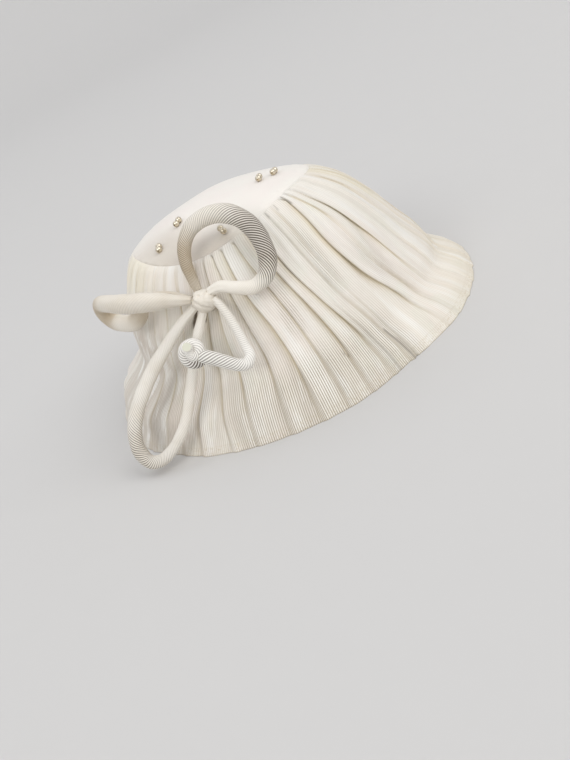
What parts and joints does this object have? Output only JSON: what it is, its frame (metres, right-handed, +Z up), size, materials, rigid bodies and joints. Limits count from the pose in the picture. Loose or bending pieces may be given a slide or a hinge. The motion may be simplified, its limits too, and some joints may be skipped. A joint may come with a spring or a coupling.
{
  "type": "cocktail hat",
  "caption": "Ivory ribbed-silk cocktail hat: shallow cap, pleated skirt flaring to a fluted rim, a bow of stuffed tubing with a knotted tail, and small paired metal beads.",
  "frame": {"origin": "on the floor plane that the rim stands on, under the middle of the whole hat with its bow", "axes": "+Z up through the cap, -Y towards the wearer's face, -X towards the wearer's right, where the bow is sewn"},
  "size_m": [0.265, 0.2476, 0.1151],
  "materials": {
    "ribbed_silk": "fine corded silk with a soft sheen, folds slightly yellowed",
    "silk_tubing": "the same corded silk, cut on the bias, stuffed and lightly pressed",
    "bead_metal": "small polished beads, slightly tarnished"
  },
  "bodies": {
    "root": {"crown_cap": "ribbed_silk", "pleated_skirt": "ribbed_silk", "bow_knot": "silk_tubing", "bow_loop_top": "silk_tubing", "bow_loop_lower": "silk_tubing", "bow_loop_left": "silk_tubing", "bow_tail": "silk_tubing", "tail_knot": "silk_tubing", "bead_pair_1": "bead_metal", "bead_pair_2": "bead_metal", "bead_pair_3": "bead_metal", "bead_pair_4": "bead_metal", "bead_pair_5": "bead_metal"}
  },
  "joints": []
}
